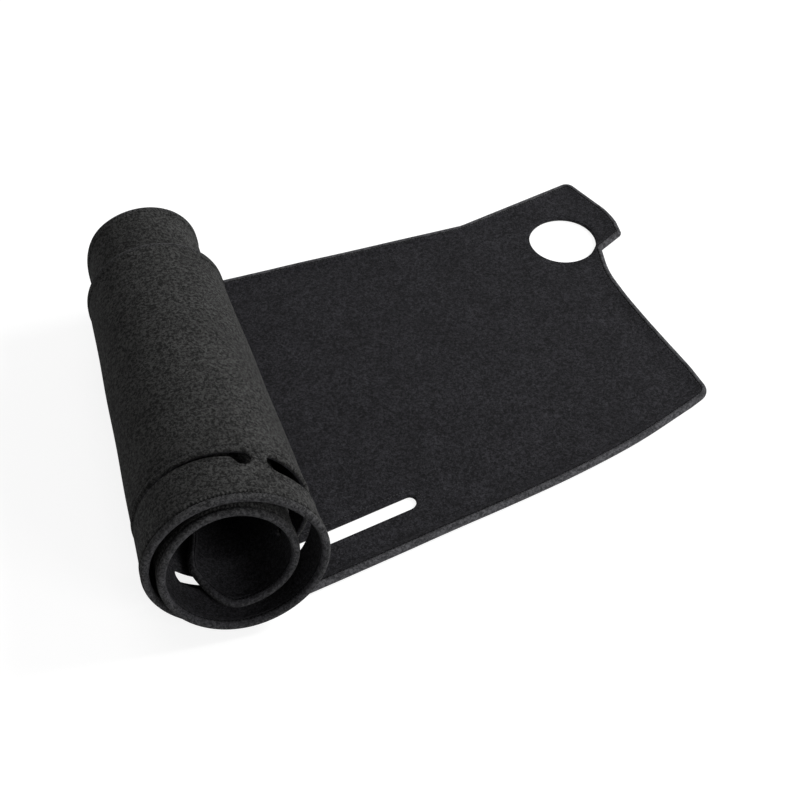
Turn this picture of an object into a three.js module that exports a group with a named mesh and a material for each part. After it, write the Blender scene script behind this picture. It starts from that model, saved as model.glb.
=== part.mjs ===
// Dashboard cover mat: one black felt sheet with a folded, stitched hem. It lies face up on its right part,
// and its left part is rolled up on top of itself, a little more than two turns.
//
// Millimetres, +Z up. While it is worked out, x = 0 is the line where the flat part leaves the floor and
// starts to roll up, and y runs along the roll. At the end the mat is moved so that the origin is the middle
// of its bounding box, on the floor.
//
// The sheet is made as a flat pattern of (u, y) points, and then bent. u is the distance to the right of the
// lift-off line. Left of it u is negative, and -u / ROLL_GAUGE is the angle turned around the roll.
import * as THREE from 'three';
import { mergeVertices } from 'three/addons/utils/BufferGeometryUtils.js';

// Felt and hem
const FELT_THICKNESS = 4.5;
const HEM_THICKNESS = 8; // the felt folded on itself and stitched down
const HEM_WIDTH = 7; // from the edge to the stitch line
const HEM_STEP = 1.5; // width of the slope from the hem down to the single felt
const HEM_NOSE = 3; // how far the rounded nose of the fold reaches in
const NOSE_SHOULDER = 1.2; // where the nose turns from the side to the top
const NOSE_SIDE = 5.76; // height of the nose's side, at that shoulder
const HEM_SHARE_UNDER = 0.3; // the share of the hem's extra thickness that shows on the underside, on the roll

// The roll. Radii are to the sheet's outer face, one for each quarter turn, from the floor around to the end.
const ROLL_GAUGE = 76;
const QUARTER = Math.PI / 2;
const FRONT_RADII = [88, 87.5, 82, 81.5, 78.5, 72, 69, 60.5, 53, 50];
const BACK_RADIUS = 77;
const BACK_RADIUS_STEP = 10.5; // how much smaller each turn is at the back
const TURN_LIFT = 9.3; // how much higher the bottom of each turn lies than the one around it
const FRONT_DRIFT = [0, -5, -2.5, -8, -7]; // sideways place of the turn's middle, for each half turn
const BACK_DRIFT = -4.5;
const BACK_RING_Y = 366; // the place along the roll that the back sizes are for
const ROLL_END_TURN = 769; // degrees turned at the sheet's inner end

// Front edge, on the windscreen side: y on the flat part, and then for each quarter turn
const FLAT_FRONT_EDGE = [[0, -12], [62, 0.5], [200, 29.5], [340, 59.5], [428, 84.5], [505, 114.5]];
const ROLLED_FRONT_EDGE = [-12, -7, -2, -17, -26, -14, -4, -8, -9, -5];

// Back edge, on the cabin side
const BACK_EDGE_AT_LIFT_OFF = 439.5;
const BACK_BEND = { u: 367, y: 456.5 }; // where the back edge turns outwards
const BACK_BEND_SLOPE = 0.262;
const RECESS = { from: 18, full: 56, end: 300, out: 500, depthAtStart: 70, depthAtEnd: 78 }; // degrees, mm
const INNER_BACK_EDGE = 441;

// Inner end, which mirrors the right end: a wide front corner, and then an end edge that leans back inwards
const INNER_CORNER = { run: 68, drop: 38 }; // along the front edge, and back from it
const INNER_LEAN = { from: 35, to: 85, shift: 20, fadeStart: 12, fadeEnd: 100 }; // y, y, u, and distances from the end

// Speaker hole
const NOTCH_CORNER = [510.5, 371.5, 4];
const HOLE_RADIUS = 38.8;
const NOTCH_WEB = 8.2106; // felt between the hole and the notch's corner
const NOTCH_BEARING = Math.atan2(29, -37); // from the notch's corner to the hole's centre
const HOLE_CENTRE = [
  NOTCH_CORNER[0] + (HOLE_RADIUS + NOTCH_WEB) * Math.cos(NOTCH_BEARING),
  NOTCH_CORNER[1] + (HOLE_RADIUS + NOTCH_WEB) * Math.sin(NOTCH_BEARING),
];
const HOLE_SIDES = 40;

// Right end: corner points, each with the radius of its rounding, from the front edge round to the back edge
const HOLE_MARGIN = 6.7; // from the hole to the line where the end piece starts
const END_PIECE_U = HOLE_CENTRE[0] - HOLE_RADIUS - HOLE_MARGIN;
const FRONT_CORNER = [532, 127, 17];
const END_EDGE = [[527.5, 167], [519, 214], [511, 262], [505.5, 305], [504.5, 336]];
const TAB_CORNER = [543.5, 390.5, 5];
const TAB_EDGE = [[545.5, 411], [542, 434], [534.5, 453]];
const BACK_CORNER_U = 518;
const BACK_CORNER_RADIUS = 11;
const CORNER_STEPS = 5;
const SMALLEST_ROUNDING = 0.6;
const CORNER_APPROACH = 26; // the long edges' last points lie this far before their corners
const FRONT_RUN_POINTS = 3;
const BACK_RUN_POINTS = 2;

// Demister vent slots, side by side along the front edge. Ends on the roll are in degrees turned.
const SLOT_SETBACK = 43; // from the front edge
const SLOT_WIDTH = 16.5;
const PINCHED_WIDTH = 4.5; // where the narrow strip in front of a slot has sagged towards it
const onRoll = (degrees) => -THREE.MathUtils.degToRad(degrees) * ROLL_GAUGE;
const SLOTS = [
  { right: 190, left: onRoll(54) },
  { right: onRoll(66), left: onRoll(202), pinch: { right: onRoll(84), left: onRoll(189) } },
  { right: onRoll(213), left: onRoll(410) },
  { right: onRoll(433), left: onRoll(656) },
];

// Steps of the mesh
const TURN_STEP = 8; // degrees
const FLAT_STEP = 40;
const SMALLEST_STEP = 0.4; // rows of mesh points closer than this become one
const SLOT_END_SHARES = [0, 0.08, 0.3, 0.62, 1]; // rows at a slot's round end, as shares of its radius
const LIFT_BLEND = 45; // the hem's extra thickness passes from the top to the underside over this length

const TANGENT_STEP = 0.01; // radians, for the roll's direction
const SAME_POINT = 1e-4;

const INNER_END_U = onRoll(ROLL_END_TURN);
const HEM_INSETS = [0, NOSE_SHOULDER, HEM_NOSE, HEM_WIDTH, HEM_WIDTH + HEM_STEP];

// A smooth curve through equally spaced values, held level at both ends.
function smoothThrough(values, t) {
  const last = values.length - 1;
  const at = (i) => values[THREE.MathUtils.clamp(i, 0, last)];
  const i = THREE.MathUtils.clamp(Math.floor(t), 0, last - 1);
  const k = THREE.MathUtils.clamp(t - i, 0, 1);
  const slopeA = (at(i + 1) - at(i - 1)) / 2;
  const slopeB = (at(i + 2) - at(i)) / 2;
  const rise = at(i + 1) - at(i);
  return at(i) + k * slopeA + k * k * (3 * rise - 2 * slopeA - slopeB) + k * k * k * (slopeA + slopeB - 2 * rise);
}

// A smooth curve through [u, y] points that are not equally spaced.
function smoothAlong(points, u) {
  const slope = (i) => {
    const a = points[Math.max(i - 1, 0)];
    const b = points[Math.min(i + 1, points.length - 1)];
    return (b[1] - a[1]) / (b[0] - a[0]);
  };
  let i = 0;
  while (i < points.length - 2 && u > points[i + 1][0]) i += 1;
  const [u0, y0] = points[i];
  const [u1, y1] = points[i + 1];
  const k = (u - u0) / (u1 - u0);
  const a = slope(i) * (u1 - u0);
  const b = slope(i + 1) * (u1 - u0);
  return y0 + k * a + k * k * (3 * (y1 - y0) - 2 * a - b) + k * k * k * (a + b - 2 * (y1 - y0));
}

function frontEdge(u) {
  if (u >= 0) return smoothAlong(FLAT_FRONT_EDGE, u);
  const intoCorner = Math.max(1 - (u - INNER_END_U) / INNER_CORNER.run, 0);
  return smoothThrough(ROLLED_FRONT_EDGE, -u / ROLL_GAUGE / QUARTER) + INNER_CORNER.drop * intoCorner ** 2;
}

// How far the inner end's lean moves a pattern point to the right.
function lean(u, y) {
  const { smoothstep } = THREE.MathUtils;
  const fade = 1 - smoothstep(u - INNER_END_U, INNER_LEAN.fadeStart, INNER_LEAN.fadeEnd);
  return INNER_LEAN.shift * smoothstep(y, INNER_LEAN.from, INNER_LEAN.to) * fade;
}

function backEdge(u) {
  if (u >= BACK_BEND.u) return BACK_BEND.y + (u - BACK_BEND.u) * BACK_BEND_SLOPE;
  if (u >= 0) return THREE.MathUtils.lerp(BACK_EDGE_AT_LIFT_OFF, BACK_BEND.y, u / BACK_BEND.u);
  const degrees = THREE.MathUtils.radToDeg(-u / ROLL_GAUGE);
  const { smoothstep, lerp, clamp } = THREE.MathUtils;
  const along = clamp((degrees - RECESS.full) / (RECESS.end - RECESS.full), 0, 1);
  const depth = lerp(RECESS.depthAtStart, RECESS.depthAtEnd, along);
  const out = smoothstep(degrees, RECESS.end, RECESS.out);
  const edge = lerp(BACK_EDGE_AT_LIFT_OFF, INNER_BACK_EDGE, out);
  return edge - depth * (smoothstep(degrees, RECESS.from, RECESS.full) - out);
}

// How much longer an inset measured along y is than one measured square to a slanted edge.
function slant(edge, u) {
  const d = 1;
  return Math.hypot(1, (edge(u + d) - edge(u - d)) / (2 * d));
}

// The near and far lip of the vent slots at u. They meet where there is no slot.
function slotLips(u) {
  const front = frontEdge(u) + SLOT_SETBACK;
  const half = SLOT_WIDTH / 2;
  const slot = SLOTS.find((s) => u < s.right && u > s.left);
  if (!slot) return [front + half, front + half];
  const toEnd = Math.min(slot.right - u, u - slot.left, half);
  const open = Math.sqrt(half * half - (half - toEnd) ** 2);
  let near = front + half - open;
  const far = front + half + open;
  if (slot.pinch) {
    const { smoothstep } = THREE.MathUtils;
    const blend = SLOT_WIDTH / 2;
    const into = smoothstep(u, slot.pinch.left - blend, slot.pinch.left);
    const outOf = smoothstep(u, slot.pinch.right, slot.pinch.right + blend);
    const pinched = into - outOf;
    near = Math.max(near, THREE.MathUtils.lerp(near, far - PINCHED_WIDTH, pinched));
  }
  return [near, far];
}

// The sheet's thickness at a distance in from its edge.
function thickness(inset) {
  if (inset <= 0) return 0;
  if (inset <= NOSE_SHOULDER) return NOSE_SIDE;
  if (inset <= HEM_WIDTH) return HEM_THICKNESS;
  return FELT_THICKNESS;
}

// The underside's and the top's heights above the surface that the hem rests on. On the flat part the
// underside is level. On the roll the hem stands out a little on the underside too.
function heights(inset, u) {
  const full = thickness(inset);
  const under = HEM_SHARE_UNDER * THREE.MathUtils.smoothstep(-u, -LIFT_BLEND, LIFT_BLEND);
  const nose = (HEM_THICKNESS - full) / 2;
  if (inset < HEM_NOSE) return [nose, nose + full];
  const bottom = under * (HEM_THICKNESS - full);
  return [bottom, bottom + full];
}

// A point of the roll's outer face, in the plane across the roll.
function rollPoint(angle, y) {
  const quarters = angle / QUARTER;
  const back = y / BACK_RING_Y;
  const { lerp } = THREE.MathUtils;
  const turns = quarters / 4;
  const radius = lerp(smoothThrough(FRONT_RADII, quarters), BACK_RADIUS - BACK_RADIUS_STEP * turns, back);
  const settled = THREE.MathUtils.smoothstep(turns, 0, 0.5);
  const drift = lerp(smoothThrough(FRONT_DRIFT, quarters / 2), BACK_DRIFT * settled, back);
  const lift = TURN_LIFT * (turns < 1 ? turns * turns * (2 - turns) : turns);
  return new THREE.Vector2(drift - radius * Math.sin(angle), lift + radius * (1 - Math.cos(angle)));
}

// Bends a pattern point that lies at the given height above the underside.
function bend(u, y, height) {
  if (u >= 0) return new THREE.Vector3(u, y, height);
  const angle = -u / ROLL_GAUGE;
  const behind = rollPoint(Math.max(angle - TANGENT_STEP, 0), y);
  const along = rollPoint(angle + TANGENT_STEP, y).sub(behind).normalize();
  const p = rollPoint(angle, y);
  return new THREE.Vector3(p.x + along.y * height, y, p.y - along.x * height);
}

// The u values at which the sheet is cut across, each a row of mesh points.
function stations() {
  const list = [];
  for (let u = 0; u < END_PIECE_U; u += FLAT_STEP) list.push(u);
  list.push(END_PIECE_U, BACK_BEND.u);
  for (let turned = TURN_STEP; turned < ROLL_END_TURN; turned += TURN_STEP) list.push(onRoll(turned));
  const half = SLOT_WIDTH / 2;
  for (const slot of SLOTS) {
    for (const share of SLOT_END_SHARES) list.push(slot.left + half * share, slot.right - half * share);
    if (slot.pinch) list.push(slot.pinch.left - half, slot.pinch.left, slot.pinch.right, slot.pinch.right + half);
  }
  const needed = new Set(list);
  for (const inset of HEM_INSETS) needed.add(INNER_END_U + inset);
  const sorted = [...needed].filter((u) => u >= INNER_END_U).sort((a, b) => a - b);
  const kept = (u, i) => i === 0 || u - sorted[i - 1] > SMALLEST_STEP;
  const inHem = HEM_INSETS.map((inset) => INNER_END_U + inset);
  return sorted.filter((u, i) => kept(u, i) && (u > inHem.at(-1) || inHem.includes(u)));
}

// Collects triangles, and closes the sheet's edges as it goes.
const corners = [];
const addTriangle = (a, b, c) => corners.push(a, b, c);
const addQuad = (a, b, c, d) => {
  addTriangle(a, b, c);
  addTriangle(a, c, d);
};

// One row of points across the sheet: [y, inset] from the front edge to the back edge.
function row(u) {
  const front = frontEdge(u);
  const back = backEdge(u);
  const frontSlant = slant(frontEdge, u);
  const backSlant = slant(backEdge, u);
  const [near, far] = slotLips(u);
  const middle = HEM_WIDTH + HEM_STEP;
  const fromEnd = u - INNER_END_U;
  const points = [
    ...HEM_INSETS.map((inset) => [front + inset * frontSlant, inset]),
    [near, middle],
    [far, middle],
    ...HEM_INSETS.toReversed().map((inset) => [back - inset * backSlant, inset]),
  ];
  return points.map(([y, inset]) => {
    const [bottom, top] = heights(Math.min(inset, fromEnd), u);
    const leant = u + lean(u, y);
    return { bottom: bend(leant, y, bottom), top: bend(leant, y, top), y };
  });
}

function addRolledAndFlatPart() {
  const rows = stations().map(row);
  const nearLip = HEM_INSETS.length;
  rows.slice(1).forEach((right, i) => {
    const left = rows[i];
    right.slice(1).forEach((far, j) => {
      if (j === nearLip) return;
      addQuad(left[j].top, right[j].top, right[j + 1].top, left[j + 1].top);
      addQuad(left[j].bottom, left[j + 1].bottom, right[j + 1].bottom, right[j].bottom);
    });
    const isOpen = [left, right].some((r) => r[nearLip + 1].y - r[nearLip].y > SAME_POINT);
    if (!isOpen) return;
    addQuad(right[nearLip].bottom, left[nearLip].bottom, left[nearLip].top, right[nearLip].top);
    const far = nearLip + 1;
    addQuad(left[far].bottom, right[far].bottom, right[far].top, left[far].top);
  });
}

// Rounds one corner of an outline, with a fixed number of points.
function roundedCorner(before, corner, after, radius) {
  const a = before.clone().sub(corner).normalize();
  const b = after.clone().sub(corner).normalize();
  const half = a.angleTo(b) / 2;
  const run = radius / Math.tan(half);
  const centre = corner.clone().addScaledVector(a.clone().add(b).normalize(), radius / Math.sin(half));
  const start = corner.clone().addScaledVector(a, run).sub(centre);
  const end = corner.clone().addScaledVector(b, run).sub(centre);
  const sweep = Math.atan2(start.cross(end), start.dot(end));
  return Array.from({ length: CORNER_STEPS + 1 }, (_, i) => {
    return start.clone().rotateAround(new THREE.Vector2(), (sweep * i) / CORNER_STEPS).add(centre);
  });
}

// Evenly spaced u values from the end piece's start towards a corner.
function run(cornerU, count) {
  const { lerp } = THREE.MathUtils;
  return Array.from({ length: count }, (_, i) => {
    return lerp(END_PIECE_U, cornerU - CORNER_APPROACH, (i + 1) / count);
  });
}

// The right end's outline, moved in by an inset, from the front edge round to the back edge.
function endOutline(inset) {
  const frontStart = [END_PIECE_U, frontEdge(END_PIECE_U)];
  const frontRun = run(FRONT_CORNER[0], FRONT_RUN_POINTS).map((u) => [u, frontEdge(u)]);
  const backRun = run(BACK_CORNER_U, BACK_RUN_POINTS).map((u) => [u, backEdge(u)]).toReversed();
  const backCorner = [BACK_CORNER_U, backEdge(BACK_CORNER_U), BACK_CORNER_RADIUS];
  const knots = [
    frontStart, ...frontRun, FRONT_CORNER, ...END_EDGE, NOTCH_CORNER, TAB_CORNER, ...TAB_EDGE, backCorner,
    ...backRun, [END_PIECE_U, backEdge(END_PIECE_U)],
  ];
  const points = knots.map(([u, y]) => new THREE.Vector2(u, y));
  const inward = (a, b) => {
    const way = b.clone().sub(a).normalize();
    return new THREE.Vector2(-way.y, way.x);
  };
  const moved = points.map((p, i) => {
    if (i === 0) return new THREE.Vector2(p.x, p.y + inset * slant(frontEdge, p.x));
    if (i === points.length - 1) return new THREE.Vector2(p.x, p.y - inset * slant(backEdge, p.x));
    const n1 = inward(points[i - 1], p);
    const n2 = inward(p, points[i + 1]);
    return p.clone().addScaledVector(n1.clone().add(n2), inset / (1 + n1.dot(n2)));
  });
  return moved.flatMap((p, i) => {
    const radius = knots[i][2];
    if (!radius) return [p];
    const isHollow = points[i].clone().sub(points[i - 1]).cross(points[i + 1].clone().sub(points[i])) < 0;
    const kept = isHollow ? radius + inset : Math.max(radius - inset, SMALLEST_ROUNDING);
    return roundedCorner(moved[i - 1], p, moved[i + 1], kept);
  });
}

function addEndPiece() {
  const loops = HEM_INSETS.map((inset) => endOutline(inset).map((p) => {
    const [bottom, top] = heights(inset, p.x);
    return { bottom: bend(p.x, p.y, bottom), top: bend(p.x, p.y, top), flat: p };
  }));
  loops.slice(1).forEach((inner, k) => {
    const outer = loops[k];
    inner.slice(1).forEach((_, i) => {
      addQuad(outer[i].top, outer[i + 1].top, inner[i + 1].top, inner[i].top);
      addQuad(outer[i].bottom, inner[i].bottom, inner[i + 1].bottom, outer[i + 1].bottom);
    });
  });
  const [lip] = slotLips(END_PIECE_U);
  const inside = loops.at(-1).map((p) => p.flat);
  const contour = [...inside, new THREE.Vector2(END_PIECE_U, lip)];
  const hole = Array.from({ length: HOLE_SIDES }, (_, i) => {
    const angle = (-2 * Math.PI * i) / HOLE_SIDES;
    return new THREE.Vector2(
      HOLE_CENTRE[0] + HOLE_RADIUS * Math.cos(angle),
      HOLE_CENTRE[1] + HOLE_RADIUS * Math.sin(angle),
    );
  });
  const all = [...contour, ...hole];
  const top = all.map((p) => bend(p.x, p.y, FELT_THICKNESS));
  const bottom = all.map((p) => bend(p.x, p.y, 0));
  for (const [a, b, c] of THREE.ShapeUtils.triangulateShape(contour, [hole])) {
    addTriangle(top[a], top[b], top[c]);
    addTriangle(bottom[a], bottom[c], bottom[b]);
  }
  hole.forEach((_, i) => {
    const a = contour.length + i;
    const b = contour.length + ((i + 1) % HOLE_SIDES);
    addQuad(bottom[a], bottom[b], top[b], top[a]);
  });
}

addRolledAndFlatPart();
addEndPiece();

// Makes the mesh: shared points are merged, and triangles that have shrunk to a line are left out.
function closedGeometry() {
  const loose = new THREE.BufferGeometry().setFromPoints(corners);
  const merged = mergeVertices(loose, SAME_POINT);
  const index = merged.getIndex().array;
  const kept = [];
  for (let i = 0; i < index.length; i += 3) {
    const [a, b, c] = index.slice(i, i + 3);
    if (a !== b && b !== c && a !== c) kept.push(a, b, c);
  }
  merged.setIndex(kept);
  merged.computeVertexNormals();
  return merged;
}

const geometry = closedGeometry();
geometry.computeBoundingBox();
const middle = geometry.boundingBox.getCenter(new THREE.Vector3());
geometry.translate(-middle.x, -middle.y, -geometry.boundingBox.min.z);

const felt = new THREE.MeshStandardMaterial({ color: 0x1c1c1f, roughness: 0.95, metalness: 0 });
const mat = new THREE.Mesh(geometry, felt);
mat.name = 'mat';

const dashboardMat = new THREE.Group();
dashboardMat.add(mat);

export default dashboardMat;
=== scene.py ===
# %% [markdown]
# # A felt dashboard cover mat, half rolled up
#
# The real thing is one sheet of needle-punched felt. Its edges are folded under and sewn down, and it has
# narrow slots for the demister vents and a round hole for a speaker. Here the right part lies flat, and the
# left part is rolled up on top of itself, a little more than two turns.
#
# This notebook draws the sheet as a flat pattern first, then bends the pattern into the roll, and last gives
# it a felt finish. Every length is in millimetres until the mesh is made, because that is how such a mat is
# measured, and every mesh is in metres.

# %% Load the frame
import math

import bpy
import numpy as np
from mathutils import Matrix, Vector
from mathutils.geometry import delaunay_2d_cdt


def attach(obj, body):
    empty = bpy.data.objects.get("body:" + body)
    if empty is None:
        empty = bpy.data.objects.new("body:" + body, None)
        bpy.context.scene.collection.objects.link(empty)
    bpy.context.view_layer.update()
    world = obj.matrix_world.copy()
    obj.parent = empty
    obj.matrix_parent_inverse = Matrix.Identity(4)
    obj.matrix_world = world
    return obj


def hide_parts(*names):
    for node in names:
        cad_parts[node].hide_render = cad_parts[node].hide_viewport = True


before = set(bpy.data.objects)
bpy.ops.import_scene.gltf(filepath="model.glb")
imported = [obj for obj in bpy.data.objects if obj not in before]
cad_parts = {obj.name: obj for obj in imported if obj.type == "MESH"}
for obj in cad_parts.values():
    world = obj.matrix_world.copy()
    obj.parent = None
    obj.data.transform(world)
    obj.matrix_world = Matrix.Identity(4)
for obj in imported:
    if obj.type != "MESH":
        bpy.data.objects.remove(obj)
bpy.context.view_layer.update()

MM = 0.001

# %% [markdown]
# ## The camera
#
# The photograph looks down at the mat from in front, with a fairly long lens. The camera's place is given as
# angles and a distance, because that is easier to read than a matrix: it looks at one point of the floor,
# from a height angle, turned to one side of the roll, with a slight tilt of the picture.

# %% Camera
MIDDLE_OF_BOX = np.array([227.627, 233.958])
LOOKED_AT = np.array([216.4, 214.9])
HEIGHT_ANGLE = 46.87
SIDE_ANGLE = 18.38
TILT = 1.25
DISTANCE = 1575.0
LENS = 67.5
SENSOR = 36.0


def camera_matrix():
    """The camera's right, up and backward directions and its place, turned about Z by minus the side
    angle."""
    height, side, tilt = np.radians([HEIGHT_ANGLE, SIDE_ANGLE, TILT])
    forward = np.array([0, math.cos(height), -math.sin(height)])
    rise = np.array([0, math.sin(height), math.cos(height)])
    right = math.cos(tilt) * np.array([1, 0, 0]) + math.sin(tilt) * rise
    up = -math.sin(tilt) * np.array([1, 0, 0]) + math.cos(tilt) * rise
    turn = np.array([[math.cos(side), math.sin(side), 0], [-math.sin(side), math.cos(side), 0], [0, 0, 1]])
    place = turn @ (-DISTANCE * forward) + [*(LOOKED_AT - MIDDLE_OF_BOX), 0]
    matrix = np.eye(4)
    matrix[:3, 0], matrix[:3, 1], matrix[:3, 2] = turn @ right, turn @ up, turn @ -forward
    matrix[:3, 3] = place * MM
    return Matrix(matrix.tolist())


camera = bpy.data.objects.new("camera", bpy.data.cameras.new("camera"))
bpy.context.scene.collection.objects.link(camera)
camera.data.lens = LENS
camera.data.sensor_width = SENSOR
camera.matrix_world = camera_matrix()
bpy.context.scene.camera = camera
print("camera at", [round(value, 3) for value in camera.matrix_world.translation])

# %% [markdown]
# ## The cut of the sheet
#
# A pattern point is (u, y). u runs along the dashboard from the line where the sheet leaves the floor, to the
# right on the flat part and to the left, negative, into the roll. y runs from the windscreen edge, in front
# here, to the cabin edge. The two long edges are smooth curves through a few points each.

# %% Sizes of the sheet
FELT = 4.5
HEM = 8.0
ROLL_GAUGE = 76.0
ROLL_END_TURN = 769.0
FRONT_RADII = [88, 87.5, 82, 81.5, 78.5, 72, 69, 60.5, 53, 50]
BACK_RADIUS = 77.0
BACK_RADIUS_STEP = 10.5
BACK_RING_Y = 366.0
TURN_LIFT = 9.3
FRONT_DRIFT = [0, -5, -2.5, -8, -7]
BACK_DRIFT = -4.5
FLAT_FRONT_EDGE = np.array([[0, -12], [62, 0.5], [200, 29.5], [340, 59.5], [428, 84.5], [505, 114.5]])
ROLLED_FRONT_EDGE = [-12, -7, -2, -17, -26, -14, -4, -8, -9, -5]
BACK_EDGE_AT_LIFT_OFF = 439.5
BACK_BEND = (367.0, 456.5)
BACK_BEND_SLOPE = 0.262
INNER_BACK_EDGE = 441.0
RECESS_TURN = (18.0, 56.0, 300.0, 500.0)
RECESS_DEPTH = (70.0, 78.0)
END_PIECE_U = 428.0
INNER_CORNER = (68.0, 38.0)
INNER_LEAN = (35.0, 85.0, 20.0)
LEAN_FADE = (12.0, 100.0)
INNER_END_U = -math.radians(ROLL_END_TURN) * ROLL_GAUGE


def smoothstep(value, low, high):
    """0 up to low, 1 from high, and between them 3 k squared minus 2 k cubed of the share k."""
    k = np.clip((value - low) / (high - low), 0, 1)
    return k * k * (3 - 2 * k)


def lerp(a, b, k):
    """a where k is 0 and b where k is 1, along a straight line."""
    return a + (b - a) * k


def cubic(start, end, slope_start, slope_end, k):
    """The cubic that leaves start and reaches end with the given slopes, at the share k of the way."""
    rise = end - start
    return (start + k * slope_start + k**2 * (3 * rise - 2 * slope_start - slope_end)
            + k**3 * (slope_start + slope_end - 2 * rise))


def smooth_through(values, t):
    """A smooth curve through values one step apart. Each slope is half the rise across its two neighbours."""
    values = np.asarray(values, float)
    last = len(values) - 1
    i = np.clip(np.floor(t).astype(int), 0, last - 1)

    def at(index):
        return values[np.clip(index, 0, last)]

    return cubic(at(i), at(i + 1), (at(i + 1) - at(i - 1)) / 2, (at(i + 2) - at(i)) / 2, np.clip(t - i, 0, 1))


def smooth_along(points, u):
    """The same kind of curve through (u, y) points at uneven steps, with slopes scaled by each step."""
    last = len(points) - 1
    i = np.clip(np.searchsorted(points[:, 0], u, side="left") - 1, 0, last - 1)

    def slope(index):
        before, after = points[np.maximum(index - 1, 0)], points[np.minimum(index + 1, last)]
        return (after[..., 1] - before[..., 1]) / (after[..., 0] - before[..., 0])

    step = points[i + 1, 0] - points[i, 0]
    share = (u - points[i, 0]) / step
    return cubic(points[i, 1], points[i + 1, 1], slope(i) * step, slope(i + 1) * step, share)


def front_edge(u):
    """The windscreen edge's y. At the inner end it curves back as a square of the way into the corner."""
    u = np.asarray(u, float)
    quarters = -u / ROLL_GAUGE / (math.pi / 2)
    run, drop = INNER_CORNER
    corner = drop * np.clip(1 - (u - INNER_END_U) / run, 0, None) ** 2
    rolled = smooth_through(ROLLED_FRONT_EDGE, quarters) + corner
    return np.where(u >= 0, smooth_along(FLAT_FRONT_EDGE, u), rolled)


def back_edge(u):
    """The cabin edge's y: two straight runs on the flat part, and a step in and out again on the roll."""
    u = np.asarray(u, float)
    bend_u, bend_y = BACK_BEND
    flat = np.where(u >= bend_u, bend_y + (u - bend_u) * BACK_BEND_SLOPE,
                    lerp(BACK_EDGE_AT_LIFT_OFF, bend_y, u / bend_u))
    turned = np.degrees(-u / ROLL_GAUGE)
    start, full, end, out = RECESS_TURN
    depth = lerp(*RECESS_DEPTH, np.clip((turned - full) / (end - full), 0, 1))
    gone = smoothstep(turned, end, out)
    rolled = lerp(BACK_EDGE_AT_LIFT_OFF, INNER_BACK_EDGE, gone)
    rolled = rolled - depth * (smoothstep(turned, start, full) - gone)
    return np.where(u >= 0, flat, rolled)


def slant(edge, u):
    """How much longer an inset along y is than one square to the slanted edge: the hypotenuse of 1 and the
    edge's slope."""
    return np.hypot(1, (edge(u + 1) - edge(u - 1)) / 2)


print("sheet depth at the lift-off line", round(float(back_edge(0) - front_edge(0)), 1), "mm")

# %% [markdown]
# ## Vent slots
#
# Four slots lie in a row behind the windscreen edge. Each is a capsule: a straight run with half-circle ends.
# On top of the roll the narrow strip in front of one slot has sagged towards it, so that its near lip almost
# meets the far one, and to the right of it the strip hangs a little away from the next slot. Both are a shift
# of everything in front of the slot's middle.

# %% Slots
SLOT_SETBACK = 43.0
SLOT_WIDTH = 16.5
PINCHED_WIDTHS = (6.5, 0.8)  # at the right and the left end of the pinch
SPREAD = 4.5
FAR_FROM_SLOTS = 99.0


def on_roll(degrees):
    """The u of a point that has turned this far round the roll."""
    return -math.radians(degrees) * ROLL_GAUGE


SLOTS = [(on_roll(54), 190.0), (on_roll(202), on_roll(66)), (on_roll(410), on_roll(213)),
         (on_roll(656), on_roll(433))]
PINCH = (on_roll(187), on_roll(76))
SPREAD_MIDDLE, SPREAD_REACH = on_roll(232), 34.0


def bell(value, middle, width):
    """e to the minus the squared distance from the middle, in widths."""
    return np.exp(-(((value - middle) / width) ** 2))


def spread(u):
    """A bell round the place where the near strip hangs away from its slot."""
    return SPREAD * bell(u, SPREAD_MIDDLE, SPREAD_REACH)


def pinch_shift(u):
    """How far the near strip has shifted towards the pinched slot's far lip, less how far it hangs away from
    the next slot's."""
    blend = SLOT_WIDTH / 2
    inside = smoothstep(u, PINCH[0] - blend, PINCH[0]) - smoothstep(u, PINCH[1], PINCH[1] + blend)
    width = lerp(*PINCHED_WIDTHS, np.clip((u - PINCH[0]) / (PINCH[1] - PINCH[0]), 0, 1))
    return (SLOT_WIDTH - width) * inside - spread(u)


def slot_lips(u):
    """The y of the near and far lips, half a chord either side of the middle line, and equal between
    slots."""
    half = SLOT_WIDTH / 2
    middle = front_edge(u) + SLOT_SETBACK + half
    to_end = np.max([np.minimum(right - u, u - left) for left, right in SLOTS], axis=0)
    to_end = np.clip(to_end, 0, half)
    chord = np.sqrt(half**2 - (half - to_end) ** 2)
    low = middle - chord * (1 + spread(u) / half)
    near = np.minimum(np.maximum(low, middle - half + pinch_shift(u)), middle + chord)
    return np.where(chord > 0, near, middle), middle + chord


def slot_distance(u, y):
    """Distance outside the nearest slot: to a line segment, less half the slot's width, in a frame that
    follows the windscreen edge and, in front of the slot, the sag."""
    half = SLOT_WIDTH / 2
    across = y - front_edge(u) - SLOT_SETBACK - half
    across = np.where(across < 0, np.minimum(across - pinch_shift(u), 0), across)
    away = [np.hypot(np.maximum(np.maximum(left + half - u, u - right + half), 0), across) - half
            for left, right in SLOTS]
    away = np.min(away, axis=0)
    return away + 6 * smoothstep(away, 3, 5) * smoothstep(-across, 2, 7)


# %% [markdown]
# ## The hem's profile
#
# The edge is folded under and sewn down through both layers. From the side that is a round nose, then the
# groove that the stitches pull into the felt, then a second low ridge that ends at the felt's raw edge. The
# profile is two heights, under and top, for each distance in from the edge. Slot lips get the same treatment
# on a smaller scale: a soft lip, a low ridge and a sewn groove round the slot.

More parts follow.
